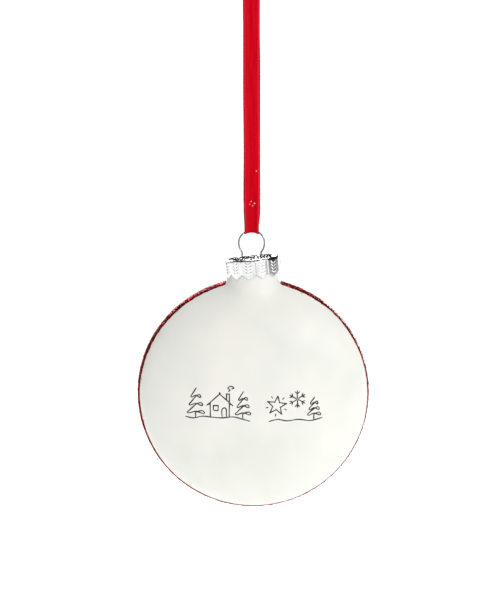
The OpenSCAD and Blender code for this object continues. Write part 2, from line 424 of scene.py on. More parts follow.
# %% [markdown]
# ## The blown glass
#
# The glass is soda-lime, about a millimetre thick, with the faint green of its iron. It only shows
# where no coat covers it: the bare end of the neck, which the cap hides until it is pulled off. The
# shell is closed, with an outer wall, an inner wall and a fire-polished, rounded lip. Real thickness
# matters, because a single skin of glass bends light the wrong way. A wall this thin hardly shifts what
# is behind it, so most light is let straight through; without that the inside would stay black.

# %% Make the glass
glass, glass_shader = new_material("blown_soda_lime_glass", Roughness=0.02, IOR=1.52,
                                   Transmission_Weight=1.0, Alpha=0.3)
glass_where = add(glass, "ShaderNodeTexCoord")
cords = add(glass, "ShaderNodeTexNoise", [(glass_where.outputs["Object"], "Vector")],
            {"Scale": 90.0, "Detail": 2.0})
greens = add(glass, "ShaderNodeValToRGB", [(cords.outputs["Fac"], "Fac")])
set_ramp(greens, [(0.3, "#EDF5F0"), (0.7, "#F7FBF8")])
join(glass, greens.outputs["Color"], glass_shader, "Base Color")
ripple = add(glass, "ShaderNodeBump", [(cords.outputs["Fac"], "Height")],
             {"Strength": 0.2, "Distance": 0.1 * MM})
join(glass, ripple.outputs["Normal"], glass_shader, "Normal")

# %% Make the glass shell: up the inside, over the rounded lip and down the outside
glass_t = 1.0
columns = 192


def grid_faces(rows, columns):
    """Quads of a grid that is closed round its columns, and a fan to a last point below it."""
    quads = [(i * columns + j, (i + 1) * columns + j, (i + 1) * columns + (j + 1) % columns,
              i * columns + (j + 1) % columns) for i in range(rows - 1) for j in range(columns)]
    last = (rows - 1) * columns
    return quads + [(last + j, rows * columns, last + (j + 1) % columns) for j in range(columns)]


outside_heights = even_heights(mouth_up - glass_t / 2, 1.3)
inside_heights = np.where(outside_heights < 0, outside_heights * (1 - glass_t / disc_r), outside_heights)
lip = [slices(np.array([mouth_up - glass_t / 2 * (1 - math.cos(a))]), columns,
              glass_t / 2 * (math.sin(a) - 1)) for a in np.linspace(-1.2, 1.2, 7)]
lip_and_outside = np.concatenate(lip + [slices(outside_heights, columns)]).reshape(-1, 3)
inside = slices(inside_heights, columns, -glass_t).reshape(-1, 3)
outer_points = np.concatenate([lip_and_outside, [disc_mid - [0, 0, disc_r]]])
inner_points = np.concatenate([inside, [disc_mid - [0, 0, disc_r - glass_t]]])
outer_faces = grid_faces(len(lip_and_outside) // columns, columns)
inner_faces = [tuple(i + len(outer_points) for i in reversed(f))
               for f in grid_faces(len(inside) // columns, columns)]
seam = [(j, (j + 1) % columns, len(outer_points) + (j + 1) % columns, len(outer_points) + j)
        for j in range(columns)]
bauble_shell = make_piece("blown_glass_shell", np.concatenate([outer_points, inner_points]),
                          outer_faces + inner_faces + seam, glass, "bauble")
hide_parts("glass_bauble")

# %% [markdown]
# ## Where pearl ends and glitter begins
#
# The back is brushed with glue and dipped in glitter, up to a line just in front of the disc's edge
# and round the root of the neck. A brush never draws a perfect line, so it wanders by a few tenths
# of a millimetre, and it lies a millimetre further back on the right than on the left. One function
# says how far a point lies inside the glitter, and both coats are cut out of the same grid with it.
# The points along the cut are slid onto the line, so that the edge isn't a staircase.

# %% Say where the glitter is
def wander(around, seed, bends, size):
    """A random wavy line that closes on itself; around runs from 0 to 1."""
    knots = np.random.default_rng(seed).uniform(-size, size, bends)
    x = around % 1 * bends
    i, t = x.astype(int) % bends, x % 1
    t = t * t * (3 - 2 * t)
    return knots[i] * (1 - t) + knots[(i + 1) % bends] * t


def in_glitter(p):
    """How far points lie inside the glitter's edge, in millimetres."""
    q = p - disc_mid
    round_disc = np.arctan2(q[..., 0], q[..., 2]) / (2 * math.pi)
    round_neck = np.arctan2(q[..., 0], q[..., 1]) / (2 * math.pi)
    slant = 1.0 * np.clip(q[..., 0] / disc_r, 0, 1)
    brushed = wander(round_disc, 3, 260, 0.2) + wander(round_disc, 4, 24, 0.25)
    disc_line = q[..., 1] + 4.0 - slant + brushed
    neck_line = (np.hypot(q[..., 0], q[..., 1]) - neck_r - 1.2 - wander(round_neck, 5, 40, 0.2)
                 + 40 * (q[..., 2] < 0))
    return np.minimum(disc_line, neck_line)


def in_pearl(p):
    """The pearl is under the glitter's edge for 0.9 mm, and leaves the end of the neck bare."""
    q = p - disc_mid
    top_line = mouth_up - 2.6 - q[..., 2]
    return np.minimum(0.9 - in_glitter(p), top_line)


# %% Cut a coat out of the grid, and close it
def slide_to(line, p):
    """Points moved along the bauble's surface until they lie on the line."""
    for _ in range(10):
        normal = normals(p)
        p = p - normal * distance(p)[..., None]
        slope = gradient(line, p, 0.05)
        slope -= normal * np.sum(slope * normal, axis=-1, keepdims=True)
        size = np.maximum(np.sum(slope ** 2, axis=-1), 0.2)
        p = p - slope * np.clip(line(p) / size, -0.25, 0.25)[..., None]
    return p


def rim_sides(skin):
    """The sides that only one face of an open skin has."""
    sides = {(a, b) for face in skin for a, b in zip(face, face[1:] + face[:1])}
    return sorted((a, b) for a, b in sides if (b, a) not in sides)


def thick_skin(name, points, skin, normal, low, high, material, body):
    """A closed piece between two copies of an open skin, low and high along its normals."""
    used = sorted({i for face in skin for i in face})
    new = dict(zip(used, range(len(used))))
    count = len(used)
    p, n = points[used], normal[used]
    low, high = (np.broadcast_to(x, len(points))[used][:, None] for x in (low, high))
    faces = [tuple(new[i] for i in face) for face in skin]
    faces += [tuple(i + count for i in reversed(face)) for face in faces]
    faces += [(new[b], new[a], new[a] + count, new[b] + count) for a, b in rim_sides(skin)]
    return make_piece(name, np.concatenate([p + n * high, p + n * low]), faces, material, body)


def cut_out(line, spacing, columns):
    """The bauble's points, and the faces on the positive side of the line with their edge on it."""
    grid = slices(even_heights(mouth_up - 1, spacing), columns)
    points = np.concatenate([grid.reshape(-1, 3), [disc_mid - [0, 0, disc_r]]])
    skin = grid_faces(len(grid), columns)
    corners = np.array([face if len(face) == 4 else face + face[-1:] for face in skin])
    skin = [skin[i] for i in np.flatnonzero(line(points[corners].mean(axis=1)) > 0)]
    rim = sorted({a for a, b in rim_sides(skin)})
    points[rim] = slide_to(line, points[rim])
    return points, skin

# %% [markdown]
# ## Pearl lacquer on the front
#
# The front is sprayed with an acrylic lacquer full of fine mica, and dries to a satin pearl. Satin
# means that a highlight is wide and soft, with no mirror image in it. The mica is 0.02 mm, too fine
# to show, so its sparkle is drawn as a grain of 0.3 mm, very faint. Slow clouds of cooler and warmer
# white, some 20 mm across, are where the coat is thicker or thinner over the greenish glass.

# %% Make the pearl lacquer and its coat
pearl, pearl_shader = new_material("satin_pearl_lacquer", IOR=1.5, Specular_IOR_Level=0.5,
                                   Coat_Weight=0.25, Coat_Roughness=0.3, Coat_IOR=1.5)
pearl_where = add(pearl, "ShaderNodeTexCoord")
clouds = add(pearl, "ShaderNodeTexNoise", [(pearl_where.outputs["Object"], "Vector")],
             {"Scale": 45.0, "Detail": 2.0, "Roughness": 0.5})
whites = add(pearl, "ShaderNodeValToRGB", [(clouds.outputs["Fac"], "Fac")])
set_ramp(whites, [(0.3, "#D0D2CB"), (0.5, "#D6D6D0"), (0.7, "#DBD9D3")])
mica = add(pearl, "ShaderNodeTexNoise", [(pearl_where.outputs["Object"], "Vector")],
           {"Scale": 3300.0, "Detail": 1.0})
join(pearl, whites.outputs["Color"], pearl_shader, "Base Color")
satin = add(pearl, "ShaderNodeMapRange", [(mica.outputs["Fac"], "Value")],
            {"To Min": 0.36, "To Max": 0.48})
join(pearl, satin.outputs["Result"], pearl_shader, "Roughness")
grain = add(pearl, "ShaderNodeBump", [(mica.outputs["Fac"], "Height")],
            {"Strength": 0.12, "Distance": 0.05 * MM})
join(pearl, grain.outputs["Normal"], pearl_shader, "Normal")

pearl_t = 0.15
points, skin = cut_out(in_pearl, 1.0, 224)
pearl_coat = thick_skin("pearl_lacquer_coat", points, skin, normals(points), 0.02, pearl_t, pearl,
                        "bauble")
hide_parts("pearl_coat")

# %% [markdown]
# ## Glitter on the back
#
# Glitter is polyester film, metallised and lacquered red, cut into tiny hexagons. They are bedded in
# glue every which way, so each one is either a bright spark or nearly black. The bed is one lumpy
# film whose material tilts a small facet for each flake and gives each facet a random red from nearly
# black to pale pink, which is painted glint and painted shade. On top of it lie real flakes, as
# hexagons 0.6 mm across, coloured the same way, so that the outline of the rim is as rough as it
# should be. Real ones are 0.2 to 0.4 mm; they are drawn a little coarser, or the back would blur to
# one plain red.

# %% Make the glitter's two materials
bed, bed_shader = new_material("red_glitter_in_glue", Metallic=0.6, Roughness=0.35,
                               Specular_Tint=colour("#B01424"))
bed_where = add(bed, "ShaderNodeTexCoord")
cells = add(bed, "ShaderNodeTexVoronoi", [(bed_where.outputs["Object"], "Vector")],
            {"Scale": 2000.0})
pick = add(bed, "ShaderNodeSeparateColor", [(cells.outputs["Color"], "Color")])
# Each cell's base colour runs from nearly black to pale pink: painted shade and painted glints, one flake
# lit and the next in shade, though all are the same red film.
bed_glint_and_shade_reds = add(bed, "ShaderNodeValToRGB", [(pick.outputs["Red"], "Fac")])
set_ramp(bed_glint_and_shade_reds, [(0.0, "#42020A"), (0.5, "#7E0612"), (0.85, "#AA0E1E"), (1.0, "#D82A38")])
join(bed, bed_glint_and_shade_reds.outputs["Color"], bed_shader, "Base Color")
# Each cell's height is a slope in a direction of its own, which makes it a flat, tilted facet.
from_middle = add(bed, "ShaderNodeVectorMath", [(bed_where.outputs["Object"], 0),
                                                (cells.outputs["Position"], 1)], operation="SUBTRACT")
lean_way = add(bed, "ShaderNodeVectorMath", [(cells.outputs["Color"], 0)], {1: (0.5, 0.5, 0.5)},
               operation="SUBTRACT")
slope = add(bed, "ShaderNodeVectorMath", [(from_middle.outputs[0], 0), (lean_way.outputs[0], 1)],
            operation="DOT_PRODUCT")
facets = add(bed, "ShaderNodeBump", [(slope.outputs["Value"], "Height")],
             {"Strength": 1.0, "Distance": 1.2})
join(bed, facets.outputs["Normal"], bed_shader, "Normal")

flake_film, flake_shader = new_material(
    "red_metallised_polyester_film", Metallic=0.9, Roughness=0.22, Specular_Tint=colour("#C01828"))
flake_info = add(flake_film, "ShaderNodeNewGeometry")
# Each flake's base colour, picked at random from nearly black to pale pink, is painted glint and painted
# shade on the same red film.
flake_glint_and_shade_reds = add(flake_film, "ShaderNodeValToRGB", [(flake_info.outputs["Random Per Island"], "Fac")])
set_ramp(flake_glint_and_shade_reds, [(0.0, "#3A020A"), (0.5, "#7E0814"), (0.85, "#B01422"), (1.0, "#E84450")])
join(flake_film, flake_glint_and_shade_reds.outputs["Color"], flake_shader, "Base Color")

# %% Make the glitter's bed, thin at its edge and lumpy all over
def bed_height(p):
    lumps = np.array([noise.noise(Vector(v) * 0.55) + 0.6 * noise.noise(Vector(v) * 1.3) for v in p])
    rise = np.clip(in_glitter(p) / 1.5, 0, 1)
    return 0.19 + (0.2 + 0.09 * lumps) * rise * rise * (3 - 2 * rise)


bed_points, bed_skin = cut_out(in_glitter, 0.9, 256)
glitter_bed = thick_skin("glitter_bed", bed_points, bed_skin, normals(bed_points), 0.01,
                         bed_height(bed_points), bed, "bauble")
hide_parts("glitter_coat")

# %% Strew hexagonal flakes over the bed, and a few past its edge
flake_rng = np.random.default_rng(11)
flake_count = 8000
quads = np.array([face for face in bed_skin if len(face) == 4])
corners = bed_points[quads]
area = np.linalg.norm(np.cross(corners[:, 2] - corners[:, 0], corners[:, 3] - corners[:, 1]), axis=1)
# Three times as many lie near the coat's edge, where the outline shows them, as on the open back.
share = area * np.where(in_glitter(corners.mean(axis=1)) < 5, 3, 1)
chosen = flake_rng.choice(len(quads), flake_count, p=share / share.sum())
u, v = flake_rng.random((2, flake_count, 1))
a, b, c, d = (corners[chosen, k] for k in range(4))
place = (a * (1 - u) + b * u) * (1 - v) + (d * (1 - u) + c * u) * v
stray = flake_rng.random(flake_count) < 0.03
near_edge = in_glitter(place) < 1.2
place[stray & near_edge] -= [0, 0.9, 0]
facing = normals(place)
place -= facing * distance(place)[:, None]
on_bed = in_glitter(place) > 0
place += facing * np.where(on_bed, bed_height(place) + flake_rng.uniform(-0.02, 0.07, flake_count),
                           pearl_t + 0.03)[:, None]
tilt = facing + flake_rng.normal(0, 0.27, (flake_count, 3)) * np.where(on_bed, 1, 0.2)[:, None]
tilt /= np.linalg.norm(tilt, axis=1, keepdims=True)
one = np.cross(tilt, flake_rng.normal(0, 1, (flake_count, 3)))
one /= np.linalg.norm(one, axis=1, keepdims=True)
two = np.cross(tilt, one)
size = flake_rng.uniform(0.24, 0.33, flake_count)[:, None]
hexagons = np.stack([place + size * (math.cos(k * math.pi / 3) * one + math.sin(k * math.pi / 3) * two)
                     for k in range(6)], axis=1)
flakes = make_piece("glitter_flakes", hexagons.reshape(-1, 3),
                    np.arange(flake_count * 6).reshape(-1, 6), flake_film, "bauble")
flakes.data.shade_flat()

# %% [markdown]
# ## The printed drawing
#
# The front carries a drawing in one thin black line, pad-printed over the pearl: fir trees and a
# house on the left, a star, a snowflake and a small tree on the right. A printed line lies a few
# hundredths of a millimetre proud. An image would need a texture file, so each stroke is a strip of
# real geometry, swept along a smooth curve and bent onto the disc, and it swells and thins as a pen
# line does.

# %% Draw the strokes as lists of points, in millimetres from the middle of the drawing
def loopy_tree(x, foot, high, wide):
    """A fir tree in one line that loops at the end of every branch."""
    stroke = [(x + 0.3, foot + high + 0.4), (x, foot + high)]
    for level in range(1, 4):
        reach = wide / 2 * (0.35 + 0.65 * level / 3)
        down = foot + high - (high - 2.2) * level / 3
        stroke += [(x - reach * 0.75, down + 0.9), (x - reach, down + 0.1), (x - reach * 0.8, down - 0.3),
                   (x, down + 0.5), (x + reach * 0.8, down - 0.3), (x + reach, down + 0.1),
                   (x + reach * 0.72, down + 0.9), (x + 0.1, down + 0.2)]
    return [stroke + [(x - 0.15, foot + 1.2), (x - 0.1, foot)]]


def snowflake(x, y, r):
    """Six arms, each with a pair of barbs."""
    strokes = []
    for k in range(6):
        c, s = math.cos(math.pi * (k / 3 + 1 / 6)), math.sin(math.pi * (k / 3 + 1 / 6))
        turn = lambda along, aside: (x + c * along - s * aside, y + s * along + c * aside)
        strokes.append([turn(0.2, 0), turn(r / 2, 0.08), turn(r, 0)])
        strokes.append([turn(r * 0.86, r * 0.27), turn(r * 0.62, 0.02), turn(r * 0.86, -r * 0.27)])
    return strokes


def star(x, y, r):
    """The outline of a five-pointed star, and a few rays round it."""
    corners = []
    for k in range(11):
        reach, a = (r if k % 2 == 0 else 0.43 * r), k * math.pi / 5 + 0.12
        corners += [(x + reach * math.sin(a), y + reach * math.cos(a))] * 2
    rays = [[(x + q * r * math.sin(a), y + q * r * math.cos(a)) for q in (0.86, 1.0, 1.16)]
            for a in (k * 0.4 * math.pi + 0.2 * math.pi + 0.12 for k in range(5))]
    return [corners] + rays


house = [[(-18.6, -4.4), (-18.7, 1.3), (-18.7, 1.3), (-19.8, 0.8), (-19.8, 0.8), (-14.6, 5.5),
          (-14.6, 5.5), (-9.4, 0.9), (-9.4, 0.9), (-10.5, 1.4), (-10.5, 1.4), (-10.6, -4.4)],
         [(-13.6, -4.5), (-13.7, -1.4), (-12.6, -0.4), (-11.8, -1.4), (-11.8, -4.5)],
         [(-17.3, -1.6), (-17.3, 0.5), (-17.3, 0.5), (-15.3, 0.5), (-15.3, 0.5), (-15.3, -1.6),
          (-15.3, -1.6), (-17.3, -1.6)],
         [(-11.7, 3.0), (-11.7, 5.6), (-11.7, 5.6), (-10.5, 5.6), (-10.5, 5.6), (-10.5, 2.0)],
         [(-11.1, 6.6), (-10.2, 7.3), (-11.2, 8.1), (-10.0, 8.9), (-8.6, 8.3), (-9.6, 7.7)]]
snow_line = [[(-29.4, -4.6), (-26, -5.2), (-22, -4.3), (-18.6, -4.5), (-14, -4.8), (-9, -4.3),
              (-5, -5.2), (-1.6, -6.2)]]
ground_line = [[(6.2, -6.3), (10, -5.4), (14, -6.1), (19, -5.6), (24, -6.3), (29.2, -5.2)]]
strokes = (loopy_tree(-24.8, -5.0, 12.6, 7.4) + house + loopy_tree(-4.7, -5.2, 11.6, 6.6) + snow_line
           + star(9.6, 0.6, 4.1) + snowflake(18.4, 3.2, 3.9) + loopy_tree(25.6, -5.9, 9.4, 5.6)
           + ground_line)
print(len(strokes), "strokes")

# %% Make the ink, and lay the strokes on the face
ink, ink_shader = new_material("pad_printing_ink", Roughness=0.5, IOR=1.5, Specular_IOR_Level=0.35)
ink_where = add(ink, "ShaderNodeTexCoord")
ink_spread = add(ink, "ShaderNodeTexNoise", [(ink_where.outputs["Object"], "Vector")],
                 {"Scale": 1500.0, "Detail": 2.0})
blacks = add(ink, "ShaderNodeValToRGB", [(ink_spread.outputs["Fac"], "Fac")])
set_ramp(blacks, [(0.35, "#141416"), (0.65, "#2A2A2D")])
join(ink, blacks.outputs["Color"], ink_shader, "Base Color")


def smooth_open(points, step):
    """A curve through the points, at even steps; a point given twice stays a corner."""
    p = np.array([points[0]] + list(points) + [points[-1]], float)
    fine = []
    for a, b, c, d in zip(p, p[1:], p[2:], p[3:]):
        a, d = (b if np.array_equal(b, a) else a), (c if np.array_equal(c, d) else d)
        for t in np.linspace(0, 1, 16, endpoint=False):
            fine.append(b + 0.5 * t * (c - a + t * (2 * a - 5 * b + 4 * c - d
                                                    + t * (3 * (b - c) + d - a))))
    fine = np.array(fine + [p[-1]])
    along = np.concatenate([[0], np.cumsum(np.linalg.norm(np.diff(fine, axis=0), axis=1))])
    at = np.linspace(0, along[-1], max(int(along[-1] / step), 4))
    return np.stack([np.interp(at, along, fine[:, k]) for k in (0, 1)], axis=1), along[-1]


drawing_at = [0.35, -2.4]
profile = [(-1, pearl_t - 0.05), (-1, pearl_t + 0.01), (-0.55, pearl_t + 0.035),
           (0.55, pearl_t + 0.035), (1, pearl_t + 0.01), (1, pearl_t - 0.05)]
ink_points, ink_faces = [], []
for number, stroke in enumerate(strokes):
    line, length = smooth_open(stroke, 0.16)
    along = np.linspace(0, length, len(line))
    ahead = np.gradient(line, axis=0)
    ahead /= np.maximum(np.linalg.norm(ahead, axis=1, keepdims=True), 1e-6)
    aside = np.stack([-ahead[:, 1], ahead[:, 0]], axis=1)
    pressed = 0.25 + 0.035 * np.sin(along * 0.9 + number * 1.7)
    pressed *= np.clip(0.45 + along / 0.9, 0, 1) * np.clip(0.45 + (length - along) / 0.9, 0, 1)
    start = len(ink_points)
    for p, n, w in zip(line, aside, pressed):
        for side, up in profile:
            x, z = p + n * side * w + drawing_at
            y = -disc_half * math.sqrt(1 - (x * x + z * z) / disc_r ** 2)
            ink_points.append((x + disc_mid[0], y - up, z + disc_mid[2]))
    k = len(profile)
    for i in range(len(line) - 1):
        for j in range(k):
            a, b = start + i * k + j, start + i * k + (j + 1) % k
            ink_faces.append((a, b, b + k, a + k))
    ink_faces.append(tuple(start + j for j in reversed(range(k))))
    ink_faces.append(tuple(start + (len(line) - 1) * k + j for j in range(k)))
drawing = make_piece("printed_drawing", ink_points, ink_faces, ink, "bauble")

# %% [markdown]
# ## The crown cap
#
# The cap is tinplate 0.25 mm thick, silvered, stamped and drawn in one stroke: a sunk top plate with
# two zigzag rings, a rounded rim, and a skirt of twelve pointed panels with ribs between them
# and a sprig of leaf shapes on each. It is made as one polar grid, rows from the middle of the plate
# out to the points of the skirt, and the pattern is pushed into the grid as real relief. A bump map
# would do from afar, but only real relief breaks the outline and catches the light properly.

# %% The cap's section and its rows
cap_r, cap_h, sheet_t = 11.6, 8.2, 0.25
panels, notch_depth, first_rib = 12, 2.1, math.radians(4.4)
tilt_back = math.radians(5.0)
wire_mid_x = (wire_low[0] + wire_high[0]) / 2
cap_mid = np.array([0.35, 0, -129.6])
plate_z = -0.5
plate_rows = [(r, plate_z) for r in np.concatenate([
    np.linspace(0.5, 3.2, 4, endpoint=False), np.linspace(3.2, 9.7, 44)])]
rim_rows = [(9.88, -0.47), (10.03, -0.39), (10.13, -0.26), (10.25, -0.12), (10.42, -0.03), (10.66, 0.0),
            (10.92, -0.03), (11.15, -0.1), (11.34, -0.22), (11.48, -0.4), (11.56, -0.58), (11.59, -0.72)]
skirt_steps = np.linspace(0, 1, 45)[1:]
section = np.array(plate_rows + rim_rows + [(cap_r, -0.72)] * len(skirt_steps))
cap_columns = panels * 36
turn = np.arange(cap_columns) * 2 * math.pi / cap_columns - math.pi / 2 + first_rib
in_panel = (np.arange(cap_columns) % 36) / 36 - 0.5
point_depth = cap_h - notch_depth * 2 * np.abs(in_panel)
radius = np.repeat(section[:, :1], cap_columns, axis=1)
height = np.repeat(section[:, 1:], cap_columns, axis=1)
skirt_from = len(section) - len(skirt_steps)
height[skirt_from:] = -0.72 - skirt_steps[:, None] * (point_depth - 0.72)
print(f"cap grid: {len(section)} rows of {cap_columns}")

# %% Push the pattern into the sheet, as heights in millimetres
def bump(offset, half_width):
    return np.exp(-(offset / half_width) ** 2)


across_panel = in_panel * 2 * math.pi * cap_r / panels
depth = -height
rib_at = math.pi * cap_r / panels - np.abs(across_panel)
above_edge = point_depth - depth
relief = np.zeros_like(height)
on_skirt = np.arange(len(section))[:, None] >= skirt_from - 3
relief += 0.24 * bump(rib_at, 0.22) * on_skirt * np.clip((depth - 0.5) / 0.6, 0, 1)
frame_line = np.minimum(rib_at - 0.75, (above_edge - 0.62) * 0.83)
relief -= 0.1 * bump(frame_line, 0.16) * on_skirt * np.clip((depth - 0.7) / 0.5, 0, 1)
for leaf_depth in (1.7, 3.0, 4.3, 5.6):
    for side in (-1, 1):
        du, dv = across_panel - side * 0.85, depth - leaf_depth
        c, s = math.cos(side * 0.72), math.sin(side * 0.72)
        long_way, short_way = -du * s + dv * c, du * c + dv * s
        shrink = 1.0 if leaf_depth < 5 else 0.75
        leaf = 1 - (long_way / (0.78 * shrink)) ** 2 - (short_way / 0.3) ** 2
        relief += 0.2 * np.sqrt(np.clip(leaf, 0, 1)) * on_skirt
relief += 0.1 * bump(across_panel, 0.14) * on_skirt * np.clip((depth - 1.2) / 0.5, 0, 1) * np.clip(
    (6.4 - depth) / 0.5, 0, 1)
zigzag = 7.7 + 0.75 * (4 * np.abs((turn * 24 / (2 * math.pi)) % 1 - 0.5) - 1)
on_plate = np.arange(len(section))[:, None] < len(plate_rows)
relief += 0.42 * bump(radius - zigzag, 0.27) * on_plate
inner_zigzag = 5.6 + 0.8 * (4 * np.abs((turn * 18 / (2 * math.pi)) % 1 - 0.5) - 1)
relief = np.maximum(relief, 0.36 * bump(radius - inner_zigzag, 0.27) * on_plate)
relief += 0.14 * bump(radius - 9.25, 0.18) * on_plate
hole_x = np.array([wire_mid_x - 4.1, wire_mid_x + 4.1])
flat_x = radius * np.cos(turn)
flat_y = radius * np.sin(turn)
to_local = hole_x - cap_mid[0]
for x in to_local:
    clear = np.clip((np.hypot(flat_x - x, flat_y) - 0.9) / 0.4, 0, 1)
    relief = np.where(on_plate, relief * clear, relief)
    relief += 0.14 * bump(np.hypot(flat_x - x, flat_y) - 0.85, 0.18) * on_plate
out_way = np.where(on_plate | (np.arange(len(section))[:, None] < skirt_from - 4), 0.0, 1.0)
radius = radius + relief * out_way
height = height + relief * (1 - out_way)

# %% Make the cap: open the two leg holes, give the sheet its thickness, and tilt it
local = np.stack([radius * np.cos(turn), radius * np.sin(turn), height], axis=-1)
down_rows = np.gradient(local, axis=0)
round_columns = (np.roll(local, -1, axis=1) - np.roll(local, 1, axis=1)) / 2
sheet_normal = np.cross(down_rows, round_columns)
sheet_normal /= np.linalg.norm(sheet_normal, axis=-1, keepdims=True)
cap_points = np.concatenate([local.reshape(-1, 3), [(0, 0, plate_z)]])
cap_normals = np.concatenate([sheet_normal.reshape(-1, 3), [(0, 0, 1)]])
centre = len(cap_points) - 1
cap_skin = [(i * cap_columns + j, (i + 1) * cap_columns + j,
             (i + 1) * cap_columns + (j + 1) % cap_columns, i * cap_columns + (j + 1) % cap_columns)
            for i in range(len(section) - 1) for j in range(cap_columns)]
hole_r = 0.58
face_middle = cap_points[np.array(cap_skin)].mean(axis=1)
from_hole = [np.hypot(face_middle[:, 0] - x, face_middle[:, 1]) for x in to_local]
cap_skin = [cap_skin[i] for i in np.flatnonzero(np.minimum(*from_hole) > hole_r)]
for i in sorted({a for a, b in rim_sides(cap_skin)}):
    x, y, z = cap_points[i]
    for hole in to_local:
        reach = math.hypot(x - hole, y)
        if reach < 1.2:
            cap_points[i] = (hole + (x - hole) * hole_r / reach, y * hole_r / reach, z)
cap_skin += [(centre, j, (j + 1) % cap_columns) for j in range(cap_columns)]
c, s = math.cos(tilt_back), math.sin(tilt_back)
lean_over = np.array([[c, 0, -s], [0, 1, 0], [s, 0, c]])
cap_points, cap_normals = (a @ lean_over.T for a in (cap_points, cap_normals))

tinplate, tin_shader = new_material("stamped_silvered_tinplate", Metallic=1.0)
tin_where = add(tinplate, "ShaderNodeTexCoord")
tarnish = add(tinplate, "ShaderNodeTexNoise", [(tin_where.outputs["Object"], "Vector")],
              {"Scale": 260.0, "Detail": 3.0, "Roughness": 0.6})
silvers = add(tinplate, "ShaderNodeValToRGB", [(tarnish.outputs["Fac"], "Fac")])
set_ramp(silvers, [(0.3, "#DCDCDE"), (0.6, "#F0F0F1")])
join(tinplate, silvers.outputs["Color"], tin_shader, "Base Color")
polish = add(tinplate, "ShaderNodeMapRange", [(tarnish.outputs["Fac"], "Value")],
             {"To Min": 0.07, "To Max": 0.2})
join(tinplate, polish.outputs["Result"], tin_shader, "Roughness")
draw_size = add(tinplate, "ShaderNodeMapping", [(tin_where.outputs["Object"], "Vector")],
                {"Scale": (4000, 4000, 500)})
draw_marks = add(tinplate, "ShaderNodeTexNoise", [(draw_size.outputs["Vector"], "Vector")],
                 {"Scale": 1.0, "Detail": 2.0})
drawn = add(tinplate, "ShaderNodeBump", [(draw_marks.outputs["Fac"], "Height")],
            {"Strength": 0.15, "Distance": 0.03 * MM})
join(tinplate, drawn.outputs["Normal"], tin_shader, "Normal")
cap = thick_skin("crown_cap_shell", cap_points + cap_mid, cap_skin, cap_normals, -sheet_t, 0.0,
                 tinplate, "cap")
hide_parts("crown_cap")

# %% [markdown]
# ## The sprung hanger
#
# One piece of 0.7 mm spring wire makes the ring and both legs. The legs go down through the cap's
# holes, spread inside the neck and press outwards, which is all that holds the cap on. Wire is a
# round section along a line of arcs and straights, so the line is written down once and a circle is
# swept along it. Its ends are snipped, and a small bevel there keeps them from looking moulded.

# %% Sweep a round section along a line of points
def swept(points, radii, sides, reference):
    """Points and faces of a tube; reference is a direction that the line never runs along."""
    p = np.asarray(points, float)
    ahead = np.gradient(p, axis=0)
    ahead /= np.linalg.norm(ahead, axis=1, keepdims=True)
    one = np.cross(ahead, reference)
    one /= np.linalg.norm(one, axis=1, keepdims=True)
    two = np.cross(one, ahead)
    angle = np.arange(sides) * 2 * math.pi / sides
    ring = (np.cos(angle)[:, None] * one[:, None] + np.sin(angle)[:, None] * two[:, None])
    tube = p[:, None] + ring * np.broadcast_to(radii, len(p))[:, None, None]
    faces = [(i * sides + j, i * sides + (j + 1) % sides, (i + 1) * sides + (j + 1) % sides,
              (i + 1) * sides + j) for i in range(len(p) - 1) for j in range(sides)]
    faces += [tuple(reversed(range(sides))), tuple((len(p) - 1) * sides + j for j in range(sides))]
    return tube.reshape(-1, 3), faces


def arc(middle, radius, start, end, step=0.12):
    """Points along an arc in the plane of the ring; the angles are in degrees."""
    count = max(int(abs(math.radians(end - start)) * radius / step), 6)
    a = np.radians(np.linspace(start, end, count))
    return [(middle[0] + radius * math.cos(t), middle[1] + radius * math.sin(t)) for t in a]


# %% Write the wire's line, from the ring's top down one leg, and mirror it for the other
ring_z = hinge_z - ring_r
leg_x, elbow_r, knee_r, knee_z, spread, foot_x, heel_r = 4.1, 1.0, 2.0, -134.5, 20, 8.0, 1.0
wire_r = wire_d / 2
ring_end = -math.degrees(math.acos((leg_x + elbow_r) / (ring_r + elbow_r)))
elbow_z = ring_z - math.sqrt((ring_r + elbow_r) ** 2 - (leg_x + elbow_r) ** 2)
sin_s, cos_s = math.sin(math.radians(spread)), math.cos(math.radians(spread))
knee_end = (leg_x + knee_r * (1 - cos_s), knee_z - knee_r * sin_s)
shin = (foot_x - wire_r - heel_r * (1 - cos_s) - knee_end[0]) / sin_s
shin_end = (knee_end[0] + shin * sin_s, knee_end[1] - shin * cos_s)
heel = (shin_end[0] - heel_r * cos_s, shin_end[1] - heel_r * sin_s)
leg = arc((0, ring_z), ring_r, 90, ring_end)
leg += arc((leg_x + elbow_r, elbow_z), elbow_r, 180 + ring_end, 180)[1:]
leg += [(leg_x, z) for z in np.linspace(elbow_z, knee_z, 12)[1:]]
leg += arc((leg_x + knee_r, knee_z), knee_r, 180, 180 + spread)[1:]
leg += [(knee_end[0] + t * sin_s, knee_end[1] - t * cos_s) for t in np.linspace(0, shin, 14)[1:]]
leg += arc(heel, heel_r, spread, spread - 75)[1:]
toe_way = math.radians(spread - 75)
leg += [(leg[-1][0] + t * math.sin(toe_way), leg[-1][1] - t * math.cos(toe_way))
        for t in (0.5, 1.0, 1.5, 1.9, 1.96, 2.0)]
whole_wire = [(-x, z) for x, z in reversed(leg[1:])] + leg
wire_line = np.array([(x, 0, z) for x, z in whole_wire])
wire_radii = np.full(len(wire_line), wire_r)
wire_radii[[0, -1]] -= 0.12
wire_radii[[1, -2]] -= 0.04
print(f"wire: {np.linalg.norm(np.diff(wire_line, axis=0), axis=1).sum():.1f} mm of it")

